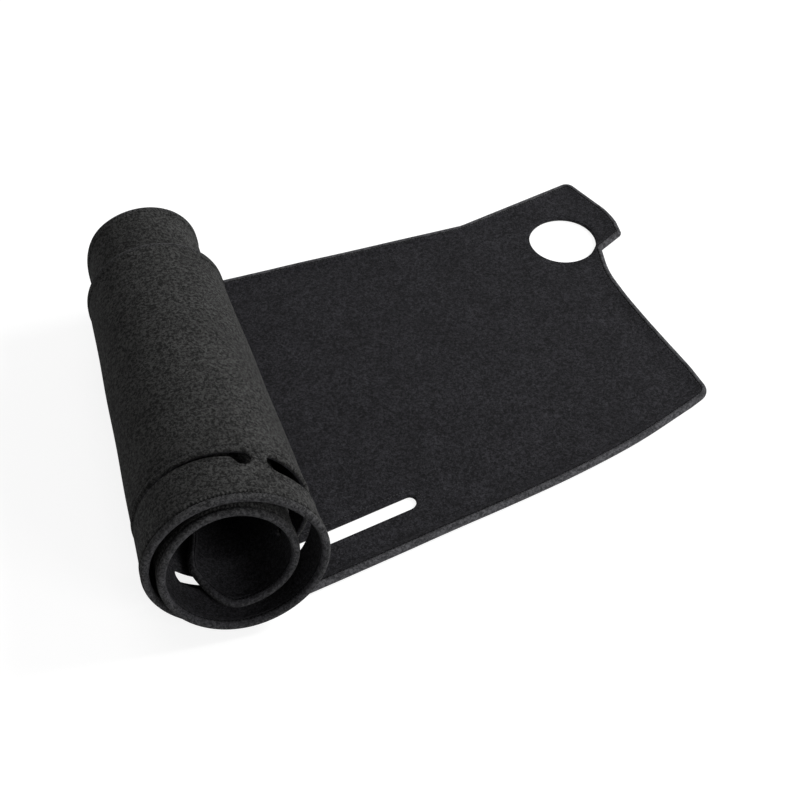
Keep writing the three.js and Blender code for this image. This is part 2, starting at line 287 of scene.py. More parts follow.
# %% Hem and lip profiles
NOSE = 4.6
STITCH_INSET = 6.2
ALLOWANCE = 12.2
GROOVE_DEPTH = 1.5
GROOVE_WIDTH = 0.75
HEM_SHARE_UNDER = 0.3
LIFT_BLEND = 45.0
LIP_ROUND = 1.5
LIP_RIDGE = 0.7
LIP_STITCH = 6.4
LIP_GROOVE = 1.0
LIP_GROOVE_WIDTH = 0.8
LIP_DROP = 1.3

NOSE_INSETS = NOSE * (1 - np.cos(np.radians([0, 12, 26, 42, 60, 76, 90])))
HEM_INSETS = np.concatenate([NOSE_INSETS, [5.3, 5.8, 6.2, 6.6, 7.1, 8.0]])
WIDE_INSETS = np.concatenate([HEM_INSETS, [9.4, 10.8, 11.8, 12.2, 12.6, 14.0, 17.0]])
LIP_OFFSETS = np.array([0, 0.35, 0.9, 1.5, 2.6, 4.2, 5.5, 6.4, 7.3, 9.0])


def sheet_heights(u, inset, slot, cabin=0.0):
    """The underside's and the top's heights over the surface that the hem rests on.

    Cabin is 1 by the cabin edge, whose groove is faint, and 0 by the others. Inside the nose both follow a
    superellipse about half the hem's height. Past it the top falls from the folded to the single thickness,
    and on the roll part of that step shows on the underside as a raw edge."""
    rolled = smoothstep(-u, -LIFT_BLEND, LIFT_BLEND)
    under_share = HEM_SHARE_UNDER * rolled
    swell = (1 - (1 - np.clip(inset / NOSE, 0, 1)) ** 2.3) ** (1 / 2.3)
    extra = HEM - FELT
    top_fall = smoothstep(inset, STITCH_INSET, ALLOWANCE + 1.2)
    raw_edge = smoothstep(inset, ALLOWANCE - 0.3, ALLOWANCE + 0.35)
    groove = bell(inset, STITCH_INSET, GROOVE_WIDTH) * (1 - 0.7 * cabin * rolled)
    top = HEM - extra * top_fall * (1 - under_share) - GROOVE_DEPTH * groove
    under = extra * under_share * raw_edge + (0.35 + 1.1 * rolled) * groove
    top = top - 0.25 * (1 - top_fall) * smoothstep(inset, NOSE, STITCH_INSET)
    in_nose = inset < NOSE - 1e-6
    top = np.where(in_nose, HEM / 2 + HEM / 2 * swell, top)
    under = np.where(in_nose, HEM / 2 - HEM / 2 * swell, under)
    lip = 1 - np.sqrt(1 - (1 - np.clip(slot / LIP_ROUND, 0, 1)) ** 2)
    ridge = LIP_RIDGE * bell(slot, 2.4, 2.6) * smoothstep(slot, -1, 2)
    seam = LIP_GROOVE * bell(slot, LIP_STITCH, LIP_GROOVE_WIDTH)
    under = under + LIP_DROP * lip + rolled * (seam - ridge)
    top = top - LIP_DROP * lip + 0.3 * ridge - 0.55 * seam
    return under, top


for inset in (0.0, NOSE, STITCH_INSET, 10.0, 20.0):
    print("heights", inset, "mm in from the edge", *np.round(sheet_heights(-400.0, inset, 50.0), 2))

# %% [markdown]
# ## Bending the pattern
#
# The roll is a spiral. Its radius shrinks with the angle turned, faster at the front than at the back, so the
# roll tapers. A pattern point goes to the spiral's point for its u, and then inwards by its height, square to
# the spiral. Felt is never quite smooth, so a slow wave of under a millimetre is added on the way.


# %% Bend
RIPPLE = 0.45
RIPPLE_FADE = 40.0
STRIP_SWELL = 1.6


def roll_point(angle, y):
    """x = drift - R sin(angle) and z = lift + R (1 - cos(angle)), with R, drift and lift blended by y."""
    quarters = angle / (math.pi / 2)
    back = y / BACK_RING_Y
    turns = quarters / 4
    radius = lerp(smooth_through(FRONT_RADII, quarters), BACK_RADIUS - BACK_RADIUS_STEP * turns, back)
    drift = lerp(smooth_through(FRONT_DRIFT, quarters / 2), BACK_DRIFT * smoothstep(turns, 0, 0.5), back)
    lift = TURN_LIFT * np.where(turns < 1, turns**2 * (2 - turns), turns)
    return np.stack([drift - radius * np.sin(angle), lift + radius * (1 - np.cos(angle))], axis=-1)


def slow_wave(u, y):
    """Three crossed sine waves, about 60 to 170 mm long, between -1 and 1."""
    return (np.sin(u / 27 + 1.3 * np.sin(y / 61)) + np.sin(y / 23 + 1.1 * np.sin(u / 47) + 2)
            + np.sin((u - y) / 19 + 4)) / 3


def near_strip_swell(u, y, slot):
    """The sagged strip stands proud of the roll beside its slot, most just before the open end."""
    in_front = y < front_edge(u) + SLOT_SETBACK + SLOT_WIDTH
    along = smoothstep(u, PINCH[0] - 4, PINCH[0] + 22) * (1 - smoothstep(u, PINCH[0] + 40, PINCH[0] + 100))
    return STRIP_SWELL * along * bell(np.maximum(slot, 0), 0, 9) * in_front


def lean(u, y):
    """How far a point near the inner end moves right, because that end leans back like the right end does."""
    start, end, shift = INNER_LEAN
    return shift * smoothstep(y, start, end) * (1 - smoothstep(u - INNER_END_U, *LEAN_FADE))


def place(u, y, height, slot):
    """Where a pattern point at a height over the underside goes, in millimetres."""
    u = u + lean(u, y)
    angle = np.maximum(-u, 0) / ROLL_GAUGE
    step = 0.01
    along = roll_point(angle + step, y) - roll_point(np.maximum(angle - step, 0), y)
    along = along / np.linalg.norm(along, axis=-1, keepdims=True)
    height = height - near_strip_swell(u, y, slot)
    ripple = RIPPLE * slow_wave(u, y) * smoothstep(np.abs(u), 0, RIPPLE_FADE)
    centre = roll_point(angle, y)
    x = np.where(u >= 0, u, centre[..., 0] + along[..., 1] * (height + ripple))
    z = np.where(u >= 0, height + np.maximum(ripple, 0), centre[..., 1] - along[..., 0] * (height + ripple))
    return np.stack([x - MIDDLE_OF_BOX[0], y - MIDDLE_OF_BOX[1], z], axis=-1)


# %% [markdown]
# ## The rolled and flat part
#
# This part is a grid: rows across the sheet at many u, and columns that keep their distance from the edges
# and from the slot lips. Rows are close together round the slots' ends and in the hem of the inner end, and
# wider elsewhere. The top and the underside are two such grids with the same columns.


# %% Rows and columns
def rows_across():
    """All u values, sorted: the needed ones, and evenly spaced ones that don't crowd them."""
    half = SLOT_WIDTH / 2
    ends = np.array(SLOTS)
    arc = half * (1 - np.cos(np.radians([0, 10, 22, 36, 52, 70, 90])))
    beyond = np.array([1.2, 2.6, 4.2, 5.5, 6.4, 7.3, 9.0])
    left, right = ends[:, :1], ends[:, 1:]
    needed = np.concatenate([(left + arc).ravel(), (left - beyond).ravel(), (right - arc).ravel(),
                             (right + beyond).ravel(), INNER_END_U + WIDE_INSETS, [0.0, END_PIECE_U]])
    needed = np.unique(np.append(np.maximum(np.round(needed, 4), INNER_END_U), INNER_END_U))
    even = np.concatenate([on_roll(1) * np.arange(2.2, ROLL_END_TURN, 2.5),
                           np.arange(6, END_PIECE_U - 2, 6.0),
                           np.linspace(PINCH[0] - half, PINCH[0], 5),
                           np.linspace(PINCH[1], PINCH[1] + half, 5)])
    even = even[(np.abs(even[:, None] - needed).min(axis=1) > 0.8) & (even > INNER_END_U + WIDE_INSETS[-1])]
    rows = np.unique(np.concatenate([needed, np.unique(np.round(even, 3))]))
    crowded = np.diff(rows, append=rows[-1] + 9) < 0.25
    rows = rows[~crowded | np.isin(rows, needed[[0, -1]])]
    return np.where(rows < INNER_END_U + 1e-3, INNER_END_U, rows)


def columns_across(u):
    """For rows u: each column's y and its distance from the long edges. Shape (rows, columns)."""
    u = u[:, None]
    front, back = front_edge(u), back_edge(u)
    near, far = slot_lips(u)
    from_front = front + WIDE_INSETS * slant(front_edge, u)
    from_back = back - WIDE_INSETS[::-1] * slant(back_edge, u)
    near_side = near - LIP_OFFSETS[::-1]
    far_side = far + LIP_OFFSETS
    strip = lerp(from_front[:, -1:], near_side[:, :1], np.array([0.33, 0.67]))
    body = lerp(far_side[:, -1:], from_back[:, :1], np.linspace(0, 1, 26)[1:-1])
    y = np.concatenate([from_front, strip, near_side, far_side, body, from_back], axis=1)
    inset = np.minimum((y - front) / slant(front_edge, u), (back - y) / slant(back_edge, u))
    return y, inset, from_front.shape[1] + strip.shape[1] + near_side.shape[1] - 1


ROWS = rows_across()
COLUMN_Y, COLUMN_INSET, NEAR_LIP = columns_across(ROWS)
print("grid", COLUMN_Y.shape, "near lip column", NEAR_LIP)


# %% Sheet builder
WELD_OFFSET = math.pi / 10  # keeps round coordinates off the borders between cells


class Shell:
    """Collects points with their pattern data, and faces, as arrays."""

    def __init__(self):
        self.points, self.data, self.faces, self.count = [], [], [], 0

    def add(self, points, data):
        """Adds points of shape (..., 3) with data of shape (..., k), and returns their numbers."""
        shape = points.shape[:-1]
        self.points.append(points.reshape(-1, 3))
        self.data.append(np.broadcast_to(data, (*shape, data.shape[-1])).reshape(-1, data.shape[-1]))
        numbers = self.count + np.arange(np.prod(shape)).reshape(shape)
        self.count += numbers.size
        return numbers

    def quads(self, a, b, c, d):
        """Two triangles for each corner quadruple."""
        a, b, c, d = (np.ravel(corner) for corner in (a, b, c, d))
        self.faces.append(np.stack([a, b, c], axis=-1))
        self.faces.append(np.stack([a, c, d], axis=-1))

    def merged(self, tolerance=2e-3):
        """Points closer than the tolerance become one, and triangles that shrink to a line go."""
        points, data = np.concatenate(self.points), np.concatenate(self.data)
        keys = np.floor(points / tolerance + WELD_OFFSET).astype(np.int64)
        _, first, inverse = np.unique(keys, axis=0, return_index=True, return_inverse=True)
        faces = inverse.ravel()[np.concatenate(self.faces)]
        distinct = (faces != np.roll(faces, 1, axis=1)).all(axis=1)
        return points[first], data[first], faces[distinct]


def sheet_length(u):
    """Real length along the felt's middle from the lift-off line: the roll's radius summed over the angle."""
    angle = np.linspace(0, -INNER_END_U / ROLL_GAUGE, 2000)
    track = roll_point(angle, 200.0)
    run = np.concatenate([[0], np.cumsum(np.linalg.norm(np.diff(track, axis=0), axis=1))])
    return np.where(u >= 0, u, -np.interp(np.maximum(-u, 0) / ROLL_GAUGE, angle, run * (1 - FELT / 140)))


def pattern_data(u, y, inset, slot, under, edge_run, cabin=0.0):
    """The numbers kept at each point: pattern place, distances, side, the run along the nearest edge, and
    whether that is the cabin edge."""
    return np.stack(np.broadcast_arrays(sheet_length(u), y, inset, slot, under, edge_run, cabin), axis=-1)


# %% Rolled and flat part
sheet = Shell()
row_u = np.broadcast_to(ROWS[:, None], COLUMN_Y.shape)
inset = np.minimum(COLUMN_INSET, row_u - INNER_END_U)
edge_run = np.where(inset < row_u - INNER_END_U - 1e-6, sheet_length(row_u), COLUMN_Y)
slot = np.maximum(slot_distance(row_u, COLUMN_Y), 0)
slot[:, NEAR_LIP] = np.where(slot[:, NEAR_LIP] < 0.2, 0, slot[:, NEAR_LIP])
cabin = (COLUMN_Y > lerp(front_edge(row_u), back_edge(row_u), 0.5)) * 1.0
under_h, top_h = sheet_heights(row_u, inset, slot, cabin)
shade = smoothstep(inset, 0, 3.0) / 2
top = sheet.add(place(row_u, COLUMN_Y, top_h, slot),
                pattern_data(row_u, COLUMN_Y, inset, slot, 0.5 - shade, edge_run, cabin))
under = sheet.add(place(row_u, COLUMN_Y, under_h, slot),
                  pattern_data(row_u, COLUMN_Y, inset, slot, 0.5 + shade, edge_run, cabin))

before = np.arange(COLUMN_Y.shape[1] - 1)
before = before[before != NEAR_LIP]
sheet.quads(top[:-1][:, before], top[1:][:, before], top[1:][:, before + 1], top[:-1][:, before + 1])
sheet.quads(under[:-1][:, before], under[:-1][:, before + 1], under[1:][:, before + 1], under[1:][:, before])
gap = COLUMN_Y[:, NEAR_LIP + 1] - COLUMN_Y[:, NEAR_LIP] > 1e-3
wall = np.flatnonzero(gap[:-1] | gap[1:])
near, far = NEAR_LIP, NEAR_LIP + 1
sheet.quads(under[wall + 1, near], under[wall, near], top[wall, near], top[wall + 1, near])
sheet.quads(under[wall, far], under[wall + 1, far], top[wall + 1, far], top[wall, far])
print("rolled and flat part:", sheet.count, "points")

# %% [markdown]
# ## The right end
#
# The right end has a rounded front corner, a hollow side, a notch and a tab, with the speaker hole close to
# the notch. Its outline is a polygon whose corners are rounded by arcs. Moved inwards step by step it gives
# the hem's loops, and the field inside the last loop is filled with triangles by Delaunay's rule.

# %% The end's outline
FRONT_CORNER = (532, 127, 17)
END_EDGE = [(527.5, 167), (519, 214), (511, 262), (505.5, 305), (504.5, 336)]
NOTCH_CORNER = (510.5, 371.5, 4)
TAB_CORNER = (543.5, 390.5, 5)
TAB_EDGE = [(545.5, 411), (542, 434), (534.5, 453)]
BACK_CORNER = (518, 11)
HOLE_CENTRE = np.array([473.5, 400.5])
HOLE_RADIUS = 38.8
CORNER_STEPS = 10
RUN_STEP = 6.0


def unit(vector):
    """The vector over its length."""
    return vector / np.linalg.norm(vector, axis=-1, keepdims=True)


def rounded(before, corner, after, radius):
    """An arc that touches both sides of a corner. Its centre lies on the corner's bisector, radius over the
    sine of the half angle away."""
    a, b = unit(before - corner), unit(after - corner)
    half = math.acos(np.clip(a @ b, -1, 1)) / 2
    centre = corner + unit(a + b) * radius / math.sin(half)
    start = corner + a * radius / math.tan(half) - centre
    end = corner + b * radius / math.tan(half) - centre
    sweep = math.atan2(start[0] * end[1] - start[1] * end[0], start @ end)
    angle = sweep * np.arange(CORNER_STEPS + 1) / CORNER_STEPS
    x = start[0] * np.cos(angle) - start[1] * np.sin(angle)
    y = start[0] * np.sin(angle) + start[1] * np.cos(angle)
    return centre + np.stack([x, y], axis=-1)


def slopes(points, i):
    """The x slopes at the ends of step i of a run of points, each half the rise across its neighbours."""
    before, after = max(i - 1, 0), min(i + 2, len(points) - 1)
    first = (points[i + 1, 0] - points[before, 0]) / (i + 1 - before)
    second = (points[after, 0] - points[i, 0]) / (after - i)
    return first, second


def curve_knots(points, i):
    """Five knots along step i of a run of points: x on a cubic, y on a straight line, and no rounding."""
    return [(float(cubic(points[i, 0], points[i + 1, 0], *slopes(points, i), k)),
             float(lerp(points[i, 1], points[i + 1, 1], k)), 0) for k in np.linspace(0, 1, 6)[:-1]]


def end_knots():
    """The outline's corners as (u, y, rounding), from the front edge round to the back edge."""
    run = np.linspace(END_PIECE_U, 506, 14)
    front = [(u, float(front_edge(u)), 0) for u in run]
    back = [(u, float(back_edge(u)), 0) for u in (492, 460, END_PIECE_U)]
    side = np.array(END_EDGE + [NOTCH_CORNER[:2]])
    curve = [knot for i in range(len(END_EDGE)) for knot in curve_knots(side, i)]
    tab = np.array([TAB_CORNER[:2]] + TAB_EDGE)
    tab_curve = [knot for i in range(1, len(tab) - 1) for knot in curve_knots(tab, i)]
    return (front + [FRONT_CORNER] + curve + [NOTCH_CORNER, TAB_CORNER] + tab_curve + [(*TAB_EDGE[-1], 0)]
            + [(BACK_CORNER[0], float(back_edge(BACK_CORNER[0])), BACK_CORNER[1])] + back)


def end_outline(shift):
    """The outline moved in by a shift: each corner goes along the sum of its sides' normals."""
    knots = end_knots()
    points = np.array([knot[:2] for knot in knots], float)
    way = unit(np.diff(points, axis=0))
    normal = np.stack([-way[:, 1], way[:, 0]], axis=-1)
    both = normal[:-1] + normal[1:]
    lengthened = shift / (1 + (normal[:-1] * normal[1:]).sum(axis=1))
    moved = points.copy()
    moved[1:-1] += both * lengthened[:, None]
    moved[0, 1] += shift * slant(front_edge, END_PIECE_U)
    moved[-1, 1] -= shift * slant(back_edge, END_PIECE_U)
    turn = way[:-1, 0] * way[1:, 1] - way[:-1, 1] * way[1:, 0]
    parts = []
    for i, (_, _, radius) in enumerate(knots):
        kept = radius + shift if 0 < i < len(knots) - 1 and turn[i - 1] < 0 else max(radius - shift, 0.8)
        parts.append(rounded(moved[i - 1], moved[i], moved[i + 1], kept) if radius else moved[i : i + 1])
    return np.concatenate(parts)


# %% Loops of the end's hem
loops = np.array([end_outline(shift) for shift in HEM_INSETS])
loop_inset = np.broadcast_to(HEM_INSETS[:, None], loops.shape[:2])
loop_run = END_PIECE_U + np.concatenate([[0], np.cumsum(np.linalg.norm(np.diff(loops[0], axis=0), axis=1))])
loop_run = np.broadcast_to(loop_run, loops.shape[:2])
loop_under, loop_top = sheet_heights(loops[..., 0], loop_inset, FAR_FROM_SLOTS)
loop_shade = smoothstep(loop_inset, 0, 3.0) / 2
loop_u, loop_y = loops[..., 0], loops[..., 1]
end_top = sheet.add(place(loop_u, loop_y, loop_top, FAR_FROM_SLOTS),
                    pattern_data(loop_u, loop_y, loop_inset, FAR_FROM_SLOTS, 0.5 - loop_shade, loop_run))
end_under = sheet.add(place(loop_u, loop_y, loop_under, FAR_FROM_SLOTS),
                      pattern_data(loop_u, loop_y, loop_inset, FAR_FROM_SLOTS, 0.5 + loop_shade, loop_run))
sheet.quads(end_top[:-1, :-1], end_top[:-1, 1:], end_top[1:, 1:], end_top[1:, :-1])
sheet.quads(end_under[:-1, :-1], end_under[1:, :-1], end_under[1:, 1:], end_under[:-1, 1:])
print("end hem loops", loops.shape)


# %% Field of the end
def distance_to_line(points, line):
    """Distance from each point to a line of straight pieces: to the nearest point of each, and the least of
    them."""
    start, way = line[:-1], np.diff(line, axis=0)
    offset = points[:, None] - start
    along = np.clip((offset * way).sum(axis=-1) / (way * way).sum(axis=-1), 0, 1)
    return np.linalg.norm(offset - along[..., None] * way, axis=-1).min(axis=1)


def is_inside(points, polygon):
    """Even-odd rule: a point is inside if a ray to the right crosses the outline an odd number of times."""
    a, b = polygon, np.roll(polygon, -1, axis=0)
    x, y = points[:, :1], points[:, 1:]
    crosses = (a[:, 1] > y) != (b[:, 1] > y)
    with np.errstate(divide="ignore", invalid="ignore"):
        at = a[:, 0] + (y - a[:, 1]) / (b[:, 1] - a[:, 1]) * (b[:, 0] - a[:, 0])
    return (crosses & (x < at)).sum(axis=1) % 2 == 1


HOLE_SIDES = 96
HOLE_RIM = 0.7
HOLE_ROUNDING = (0.6, 0.4)  # how far the rim's top falls and its underside rises
NOTCH_DIP = 0.8
NOTCH_DIP_ANGLE = 0.25


def hole_ring(outside):
    """Points of a circle about the hole's centre, this far outside its edge, but closer by the notch."""
    angle = np.arange(HOLE_SIDES) * 2 * math.pi / HOLE_SIDES
    notch_angle = math.atan2(*(np.array(NOTCH_CORNER[:2]) - HOLE_CENTRE)[::-1])
    turned = np.angle(np.exp(1j * (angle - notch_angle)))
    radius = HOLE_RADIUS + outside * (1 - NOTCH_DIP * bell(turned, 0, NOTCH_DIP_ANGLE))
    return HOLE_CENTRE + radius[:, None] * np.stack([np.cos(angle), np.sin(angle)], axis=-1)


seam_y = np.unique(np.round(COLUMN_Y[-1], 4))
seam_y = seam_y[(seam_y > loops[-1, 0, 1] + 1e-3) & (seam_y < loops[-1, -1, 1] - 1e-3)][::-1]
seam = np.stack([np.full(seam_y.shape, END_PIECE_U), seam_y], axis=-1)
contour = np.concatenate([loops[-1], seam])
rings = [hole_ring(0.0), hole_ring(HOLE_RIM)]
grid_u, grid_y = np.meshgrid(np.arange(END_PIECE_U + 6, 540, 7.0), np.arange(95, 500, 7.0))
grid = np.stack([grid_u.ravel(), grid_y.ravel()], axis=-1)
closed = np.concatenate([contour, contour[:1]])
from_hole = np.linalg.norm(grid - HOLE_CENTRE, axis=1) - HOLE_RADIUS
grid = grid[is_inside(grid, contour) & (distance_to_line(grid, closed) > 3) & (from_hole > 3)]
cloud = np.concatenate([contour, *rings, grid])


def ring_edges(start, count):
    """Number pairs that close a ring of points."""
    numbers = start + np.arange(count)
    return np.stack([numbers, np.roll(numbers, -1)], axis=-1)


edges = np.concatenate([ring_edges(0, len(contour)), ring_edges(len(contour), HOLE_SIDES),
                        ring_edges(len(contour) + HOLE_SIDES, HOLE_SIDES)])
centred = [Vector(point) for point in (cloud - cloud.mean(axis=0)).tolist()]
filled = delaunay_2d_cdt(centred, edges.tolist(), [], 0, 1e-6, True)
origin = np.array([sources[0] if sources else -1 for sources in filled[3]])
triangles = origin[np.array(filled[2])]
centres = cloud[triangles].mean(axis=1)
inside = is_inside(centres, contour) & (np.linalg.norm(centres - HOLE_CENTRE, axis=1) > HOLE_RADIUS * 0.999)
triangles = triangles[inside]
sides = cloud[triangles]
area = np.cross(sides[:, 1] - sides[:, 0], sides[:, 2] - sides[:, 0])
triangles = np.where(area[:, None] > 0, triangles, triangles[:, ::-1])
field_inset = distance_to_line(cloud, loops[0])
field_inset[: loops.shape[1]] = HEM_INSETS[-1]
field_inset[loops.shape[1] : len(contour)] = np.interp(seam_y, COLUMN_Y[-1], COLUMN_INSET[-1])
seam_slot = np.maximum(slot_distance(cloud[:, 0], cloud[:, 1]), 0)
field_under, field_top = sheet_heights(cloud[:, 0], field_inset, seam_slot)
hole = slice(len(contour), len(contour) + HOLE_SIDES)
field_top[hole] -= HOLE_ROUNDING[0]
field_under[hole] += HOLE_ROUNDING[1]
run = np.zeros(len(cloud))
field_top_id = sheet.add(place(cloud[:, 0], cloud[:, 1], field_top, seam_slot),
                         pattern_data(cloud[:, 0], cloud[:, 1], field_inset, seam_slot, 0.0, run))
field_under_id = sheet.add(place(cloud[:, 0], cloud[:, 1], field_under, seam_slot),
                           pattern_data(cloud[:, 0], cloud[:, 1], field_inset, seam_slot, 1.0, run))
sheet.faces.append(field_top_id[triangles])
sheet.faces.append(field_under_id[triangles][:, ::-1])
ring_top, ring_under = field_top_id[hole], field_under_id[hole]
sheet.quads(ring_under, ring_top, np.roll(ring_top, -1), np.roll(ring_under, -1))
print("field of the end:", len(cloud), "points,", len(triangles), "triangles a side")


# %% Make the mesh
def open_edges(faces):
    """How many edges don't have exactly two faces."""
    pairs = np.sort(np.concatenate([faces[:, [0, 1]], faces[:, [1, 2]], faces[:, [2, 0]]]), axis=1)
    _, uses = np.unique(pairs, axis=0, return_counts=True)
    return int((uses != 2).sum())


def new_object(name, points, faces):
    """A mesh object at the origin from millimetre points, with smooth shading."""
    mesh = bpy.data.meshes.new(name)
    mesh.from_pydata((points * MM).tolist(), [], faces.tolist())
    mesh.polygons.foreach_set("use_smooth", np.ones(len(mesh.polygons), bool))
    made = bpy.data.objects.new(name, mesh)
    bpy.context.scene.collection.objects.link(made)
    return made


points, data, faces = sheet.merged()
felt_sheet = new_object("felt_sheet", points, faces)
for number, name in enumerate(["pattern_u", "pattern_y", "inset", "slot", "under", "edge_run", "cabin"]):
    layer = felt_sheet.data.attributes.new(name, "FLOAT", "POINT")
    layer.data.foreach_set("value", data[:, number].astype(np.float32))
sides = points[faces] * MM
volume = np.einsum("ij,ij->i", sides[:, 0], np.cross(sides[:, 1], sides[:, 2])).sum() / 6
surface = np.linalg.norm(np.cross(sides[:, 1] - sides[:, 0], sides[:, 2] - sides[:, 0]), axis=1).sum() / 2
print("felt sheet:", len(faces), "triangles, open edges", open_edges(faces))
print("volume", round(volume * 1e6), "cm3, half surface", round(surface / 2, 4), "m2")

# %% [markdown]
# ## Thread
#
# The hem and the slots are sewn with black thread. Each stitch that shows is a short bead of thread that dips
# into the felt at both ends. All stitches of a seam are made at once: the seam is a line on the pattern, its
# stitches are cut from it at even real lengths, and a small tube of five sides is laid along each.

# %% Stitches
STITCH_PITCH = 3.4
STITCH_LENGTH = 2.5
THREAD_RADIUS = 0.38
THREAD_SIDES = 5


def along_line(line, run, at):
    """Points of a line at given runs, each coordinate interpolated by itself."""
    return np.stack([np.interp(at, run, line[:, axis]) for axis in range(3)], axis=-1)


def stitches(u, y, inset, slot, face, cabin=0.0):
    """A seam's stitches as tubes: four rings along each, round the line from start to end, the end rings sunk
    into the felt and half as wide. Returns points of shape (stitches, 4, sides, 3)."""
    under, top = sheet_heights(u, inset, slot, cabin)
    height = top if face else under
    seam_line = place(u, y, height, slot)
    outwards = unit(place(u, y, height + (1 if face else -1), slot) - seam_line)
    run = np.concatenate([[0], np.cumsum(np.linalg.norm(np.diff(seam_line, axis=0), axis=1))])
    middle = np.arange(STITCH_PITCH / 2, run[-1], STITCH_PITCH)
    start = along_line(seam_line, run, middle - STITCH_LENGTH / 2)
    end = along_line(seam_line, run, middle + STITCH_LENGTH / 2)
    normal = unit(along_line(outwards, run, middle))
    across = unit(np.cross(end - start, normal))
    share = np.array([0, 0.2, 0.8, 1])[:, None, None]
    width = THREAD_RADIUS * np.array([0.5, 1, 1, 0.5])[:, None, None]
    sunk = np.array([-0.35, 0.2, 0.2, -0.35])[:, None, None]
    angle = (np.arange(THREAD_SIDES) * 2 * math.pi / THREAD_SIDES)[None, :, None]
    start, end, normal, across = (part[:, None, None] for part in (start, end, normal, across))
    return lerp(start, end, share) + normal * (sunk + width * np.cos(angle)) + across * width * np.sin(angle)


def thread_piece(name, seams):
    """One mesh from many stitches: rings joined by quads, with a fan on each end."""
    tubes = np.concatenate(seams)
    ring = np.arange(THREAD_SIDES)
    after = np.roll(ring, -1)
    starts = THREAD_SIDES * np.arange(3)[:, None]
    a, b = (ring + starts).ravel(), (after + starts).ravel()
    walls = np.concatenate([np.stack([a, b, b + THREAD_SIDES], axis=-1),
                            np.stack([a, b + THREAD_SIDES, a + THREAD_SIDES], axis=-1)])
    fan = np.array([[0, k + 1, k] for k in range(1, THREAD_SIDES - 1)])
    caps = np.concatenate([fan, fan[:, ::-1] + 3 * THREAD_SIDES])
    one = np.concatenate([walls, caps])
    every = (one + np.arange(len(tubes))[:, None, None] * 4 * THREAD_SIDES).reshape(-1, 3)
    made = new_object(name, tubes.reshape(-1, 3), every)
    print(name, len(tubes), "stitches,", len(every), "triangles")
    return made


def slot_seam(left, right):
    """The line round a slot, the stitch distance outside it: far side, one end, near side, other end."""
    half = SLOT_WIDTH / 2
    wide = half + LIP_STITCH
    straight = np.linspace(left + half, right - half, 160)
    beside = np.full(straight.shape, wide)
    turn = np.radians(np.linspace(90, -90, 24))
    u = np.concatenate([straight, right - half + wide * np.cos(turn), straight[::-1],
                        left + half - wide * np.cos(turn[::-1])])
    across = np.concatenate([beside, wide * np.sin(turn), -beside, wide * np.sin(turn[::-1])])
    across = across + np.where(across < 0, pinch_shift(u), 0)
    return u, front_edge(u) + SLOT_SETBACK + half + across


seam_u = np.linspace(INNER_END_U + 8, END_PIECE_U, 1400)
front_seam = seam_u, front_edge(seam_u) + STITCH_INSET * slant(front_edge, seam_u)
back_seam = seam_u, back_edge(seam_u) - STITCH_INSET * slant(back_edge, seam_u)
sewn_loop = loops[np.flatnonzero(np.isclose(HEM_INSETS, STITCH_INSET))[0]]
inner_y = np.linspace(float(front_edge(INNER_END_U)) + 8, float(back_edge(INNER_END_U)) - 8, 200)
inner_seam = np.full(200, INNER_END_U + STITCH_INSET), inner_y
threads = []
for face, name in ((True, "thread_on_face"), (False, "thread_on_underside")):
    seams = [stitches(*front_seam, STITCH_INSET, FAR_FROM_SLOTS, face),
             stitches(*back_seam, STITCH_INSET, FAR_FROM_SLOTS, face, 1.0),
             stitches(sewn_loop[:, 0], sewn_loop[:, 1], STITCH_INSET, FAR_FROM_SLOTS, face),
             stitches(*inner_seam, STITCH_INSET, FAR_FROM_SLOTS, face)]
    seams += [stitches(*slot_seam(*ends), FAR_FROM_SLOTS, LIP_STITCH, face) for ends in SLOTS]
    threads.append(thread_piece(name, seams))

# %% [markdown]
# ## Materials
#
# Shader maths reads best as ordinary expressions, so a small class wraps a node's socket and gives it the
# usual operators. Each expression on values adds a Math node.


# %% Shader helper
class Value:
    """A number socket in a material, with arithmetic that adds Math nodes."""

    def __init__(self, tree, socket):
        self.tree, self.socket = tree, socket

    def math(self, operation, *others):
        """A Math node with this socket first."""
        made = self.tree.nodes.new("ShaderNodeMath")
        made.operation = operation
        for index, value in enumerate((self, *others)):
            connect(self.tree, made.inputs[index], value)
        return Value(self.tree, made.outputs[0])

    def __add__(self, other):
        return self.math("ADD", other)

    def __sub__(self, other):
        return self.math("SUBTRACT", other)

    def __mul__(self, other):
        return self.math("MULTIPLY", other)

    def __rsub__(self, other):
        return (self * -1) + other

    __radd__ = __add__
    __rmul__ = __mul__

    def clamp(self):
        """The value kept between 0 and 1."""
        made = self + 0
        made.socket.node.use_clamp = True
        return made

    def bell(self, middle, width):
        """e to the minus the squared distance from the middle, in widths."""
        away = (self - middle) * (1 / width)
        return (away * away * -1).math("EXPONENT")

    def step(self, low, high):
        """Rises smoothly from 0 at low to 1 at high."""
        made = self.tree.nodes.new("ShaderNodeMapRange")
        made.interpolation_type = "SMOOTHSTEP"
        made.inputs["From Min"].default_value, made.inputs["From Max"].default_value = low, high
        connect(self.tree, made.inputs["Value"], self)
        return Value(self.tree, made.outputs["Result"])


def connect(tree, target, value):
    """Links a wrapped socket to an input, or writes a plain value into it."""
    if isinstance(value, Value):
        tree.links.new(value.socket, target)
    else:
        target.default_value = value


def add_node(tree, kind, settings=None, out=0, **inputs):
    """Adds a node of a kind, sets its properties and its inputs, and wraps one of its outputs."""
    made = tree.nodes.new(kind)
    for name, value in (settings or {}).items():
        setattr(made, name, value)
    for name, value in inputs.items():
        connect(tree, made.inputs[name.replace("_", " ")], value)
    return Value(tree, made.outputs[out])


